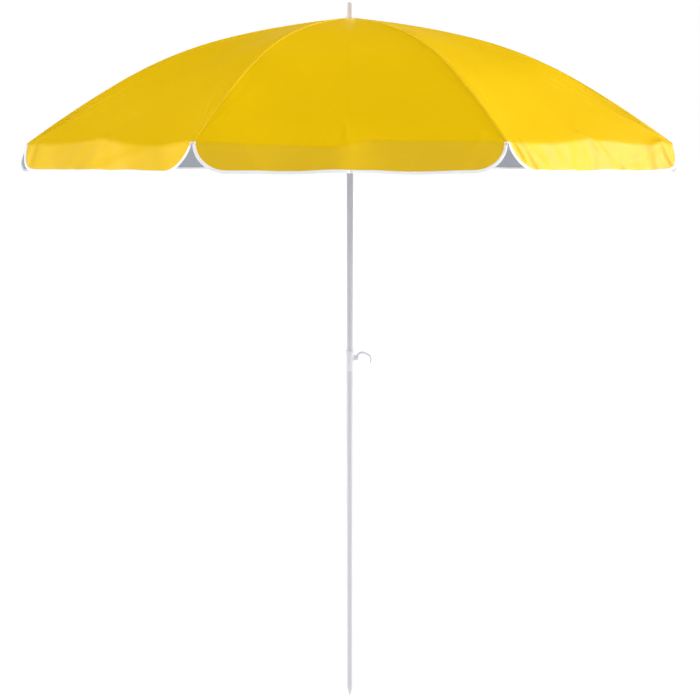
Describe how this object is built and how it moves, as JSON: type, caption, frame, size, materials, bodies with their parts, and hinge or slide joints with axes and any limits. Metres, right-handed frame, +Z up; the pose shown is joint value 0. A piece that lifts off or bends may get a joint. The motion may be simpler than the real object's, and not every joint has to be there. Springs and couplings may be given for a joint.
{
  "type": "beach umbrella",
  "caption": "Folding beach umbrella with flat cloth panels on curved ribs, sliding runner, height-clamped two-part pole, hook handle and ground spike.",
  "frame": {"origin": "point of the ground spike, on the pole's axis", "axes": "+Z up along the pole; +X towards the clamp screw's hook; -Y is the front, facing the middle of a canopy panel"},
  "size_m": [1.7194, 1.7194, 2.0261],
  "materials": {
    "canopy_cloth": "matt woven polyester, silver coated inside",
    "pole_lower_enamel": "satin white enamel on steel tube",
    "pole_upper_enamel": "satin white enamel on steel tube",
    "rib_enamel": "satin white enamel on steel rod",
    "zinc_steel": "zinc plated",
    "white_plastic": "moulded, semi-gloss"
  },
  "bodies": {
    "pole_base": {"ground_spike": "pole_lower_enamel", "lower_pole": "pole_lower_enamel", "clamp_collar": "white_plastic", "clamp_nut": "zinc_steel"},
    "clamp_screw": {"clamp_stud": "zinc_steel", "clamp_hook": "white_plastic"},
    "pole_bush": {"pole_end_bush": "white_plastic"},
    "mast": {"upper_pole": "pole_upper_enamel", "catch_pin": "zinc_steel", "crown": "white_plastic", "crown_ring": "zinc_steel", "crown_rivet": "zinc_steel", "finial": "white_plastic"},
    "catch": {"runner_catch": "zinc_steel"},
    "runner": {"runner": "white_plastic", "runner_ring": "zinc_steel"},
    "rib_1": {"rib_1": "rib_enamel", "rib_clip_1": "zinc_steel", "rib_tip_1": "white_plastic", "canopy_panel_1": "canopy_cloth"},
    "stretcher_1": {"stretcher_1": "rib_enamel"},
    "rib_2": {"rib_2": "rib_enamel", "rib_clip_2": "zinc_steel", "rib_tip_2": "white_plastic", "canopy_panel_2": "canopy_cloth"},
    "stretcher_2": {"stretcher_2": "rib_enamel"},
    "rib_3": {"rib_3": "rib_enamel", "rib_clip_3": "zinc_steel", "rib_tip_3": "white_plastic", "canopy_panel_3": "canopy_cloth"},
    "stretcher_3": {"stretcher_3": "rib_enamel"},
    "rib_4": {"rib_4": "rib_enamel", "rib_clip_4": "zinc_steel", "rib_tip_4": "white_plastic", "canopy_panel_4": "canopy_cloth"},
    "stretcher_4": {"stretcher_4": "rib_enamel"},
    "rib_5": {"rib_5": "rib_enamel", "rib_clip_5": "zinc_steel", "rib_tip_5": "white_plastic", "canopy_panel_5": "canopy_cloth"},
    "stretcher_5": {"stretcher_5": "rib_enamel"},
    "rib_6": {"rib_6": "rib_enamel", "rib_clip_6": "zinc_steel", "rib_tip_6": "white_plastic", "canopy_panel_6": "canopy_cloth"},
    "stretcher_6": {"stretcher_6": "rib_enamel"},
    "rib_7": {"rib_7": "rib_enamel", "rib_clip_7": "zinc_steel", "rib_tip_7": "white_plastic", "canopy_panel_7": "canopy_cloth"},
    "stretcher_7": {"stretcher_7": "rib_enamel"},
    "rib_8": {"rib_8": "rib_enamel", "rib_clip_8": "zinc_steel", "rib_tip_8": "white_plastic", "canopy_panel_8": "canopy_cloth"},
    "stretcher_8": {"stretcher_8": "rib_enamel"}
  },
  "joints": [
    {"name": "clamp_screw_turn", "type": "hinge", "parent": "pole_base", "child": "clamp_screw", "pos_m": [0.0158, 0, 1.013], "axis": [1, 0, 0], "range_deg": [0, 540]},
    {"name": "pole_height", "type": "slide", "parent": "pole_base", "child": "pole_bush", "axis": [0, 0, 1], "range_m": [-0.1, 0.06]},
    {"name": "canopy_swivel", "type": "hinge", "parent": "pole_bush", "child": "mast", "pos_m": [0, 0, 0.9], "axis": [0, 0, 1], "continuous": true},
    {"name": "catch_press", "type": "hinge", "parent": "mast", "child": "catch", "pos_m": [0.0065, 0, 1.72265], "axis": [0, -1, 0], "range_deg": [0, 7.5], "stiffness_Nm_per_rad": 0.8, "springref_deg": -5.73},
    {"name": "canopy_fold", "type": "hinge", "parent": "mast", "child": "rib_1", "pos_m": [0.01663, 0.00689, 1.9715], "axis": [-0.3827, 0.9239, 0], "range_deg": [0, 67.5], "deforming": ["canopy_panel_1", "canopy_panel_2", "canopy_panel_3", "canopy_panel_4", "canopy_panel_5", "canopy_panel_6", "canopy_panel_7", "canopy_panel_8", "runner_catch"]},
    {"name": "rib_2_fold", "type": "hinge", "parent": "mast", "child": "rib_2", "pos_m": [0.00689, 0.01663, 1.9715], "axis": [-0.9239, 0.3827, 0], "range_deg": [0, 67.5]},
    {"name": "rib_3_fold", "type": "hinge", "parent": "mast", "child": "rib_3", "pos_m": [-0.00689, 0.01663, 1.9715], "axis": [-0.9239, -0.3827, 0], "range_deg": [0, 67.5]},
    {"name": "rib_4_fold", "type": "hinge", "parent": "mast", "child": "rib_4", "pos_m": [-0.01663, 0.00689, 1.9715], "axis": [-0.3827, -0.9239, 0], "range_deg": [0, 67.5]},
    {"name": "rib_5_fold", "type": "hinge", "parent": "mast", "child": "rib_5", "pos_m": [-0.01663, -0.00689, 1.9715], "axis": [0.3827, -0.9239, 0], "range_deg": [0, 67.5]},
    {"name": "rib_6_fold", "type": "hinge", "parent": "mast", "child": "rib_6", "pos_m": [-0.00689, -0.01663, 1.9715], "axis": [0.9239, -0.3827, 0], "range_deg": [0, 67.5]},
    {"name": "rib_7_fold", "type": "hinge", "parent": "mast", "child": "rib_7", "pos_m": [0.00689, -0.01663, 1.9715], "axis": [0.9239, 0.3827, 0], "range_deg": [0, 67.5]},
    {"name": "rib_8_fold", "type": "hinge", "parent": "mast", "child": "rib_8", "pos_m": [0.01663, -0.00689, 1.9715], "axis": [0.3827, 0.9239, 0], "range_deg": [0, 67.5]},
    {"name": "stretcher_1_swing", "type": "hinge", "parent": "rib_1", "child": "stretcher_1", "pos_m": [0.37628, 0.15586, 1.88422], "axis": [-0.3827, 0.9239, 0], "range_deg": [-135, 0]},
    {"name": "stretcher_2_swing", "type": "hinge", "parent": "rib_2", "child": "stretcher_2", "pos_m": [0.15586, 0.37628, 1.88422], "axis": [-0.9239, 0.3827, 0], "range_deg": [-135, 0]},
    {"name": "stretcher_3_swing", "type": "hinge", "parent": "rib_3", "child": "stretcher_3", "pos_m": [-0.15586, 0.37628, 1.88422], "axis": [-0.9239, -0.3827, 0], "range_deg": [-135, 0]},
    {"name": "stretcher_4_swing", "type": "hinge", "parent": "rib_4", "child": "stretcher_4", "pos_m": [-0.37628, 0.15586, 1.88422], "axis": [-0.3827, -0.9239, 0], "range_deg": [-135, 0]},
    {"name": "stretcher_5_swing", "type": "hinge", "parent": "rib_5", "child": "stretcher_5", "pos_m": [-0.37628, -0.15586, 1.88422], "axis": [0.3827, -0.9239, 0], "range_deg": [-135, 0]},
    {"name": "stretcher_6_swing", "type": "hinge", "parent": "rib_6", "child": "stretcher_6", "pos_m": [-0.15586, -0.37628, 1.88422], "axis": [0.9239, -0.3827, 0], "range_deg": [-135, 0]},
    {"name": "stretcher_7_swing", "type": "hinge", "parent": "rib_7", "child": "stretcher_7", "pos_m": [0.15586, -0.37628, 1.88422], "axis": [0.9239, 0.3827, 0], "range_deg": [-135, 0]},
    {"name": "stretcher_8_swing", "type": "hinge", "parent": "rib_8", "child": "stretcher_8", "pos_m": [0.37628, -0.15586, 1.88422], "axis": [0.3827, 0.9239, 0], "range_deg": [-135, 0]},
    {"name": "runner_travel", "type": "hinge", "parent": "stretcher_1", "child": "runner", "pos_m": [0.01663, 0.00689, 1.79695], "axis": [-0.3827, 0.9239, 0], "range_deg": [0, 67.5]}
  ],
  "couplings": [
    {"joint": "rib_2_fold", "follows": "canopy_fold", "ratio": 1},
    {"joint": "rib_3_fold", "follows": "canopy_fold", "ratio": 1},
    {"joint": "rib_4_fold", "follows": "canopy_fold", "ratio": 1},
    {"joint": "rib_5_fold", "follows": "canopy_fold", "ratio": 1},
    {"joint": "rib_6_fold", "follows": "canopy_fold", "ratio": 1},
    {"joint": "rib_7_fold", "follows": "canopy_fold", "ratio": 1},
    {"joint": "rib_8_fold", "follows": "canopy_fold", "ratio": 1},
    {"joint": "stretcher_1_swing", "follows": "canopy_fold", "ratio": -2},
    {"joint": "stretcher_2_swing", "follows": "canopy_fold", "ratio": -2},
    {"joint": "stretcher_3_swing", "follows": "canopy_fold", "ratio": -2},
    {"joint": "stretcher_4_swing", "follows": "canopy_fold", "ratio": -2},
    {"joint": "stretcher_5_swing", "follows": "canopy_fold", "ratio": -2},
    {"joint": "stretcher_6_swing", "follows": "canopy_fold", "ratio": -2},
    {"joint": "stretcher_7_swing", "follows": "canopy_fold", "ratio": -2},
    {"joint": "stretcher_8_swing", "follows": "canopy_fold", "ratio": -2},
    {"joint": "runner_travel", "follows": "canopy_fold", "ratio": 1}
  ]
}
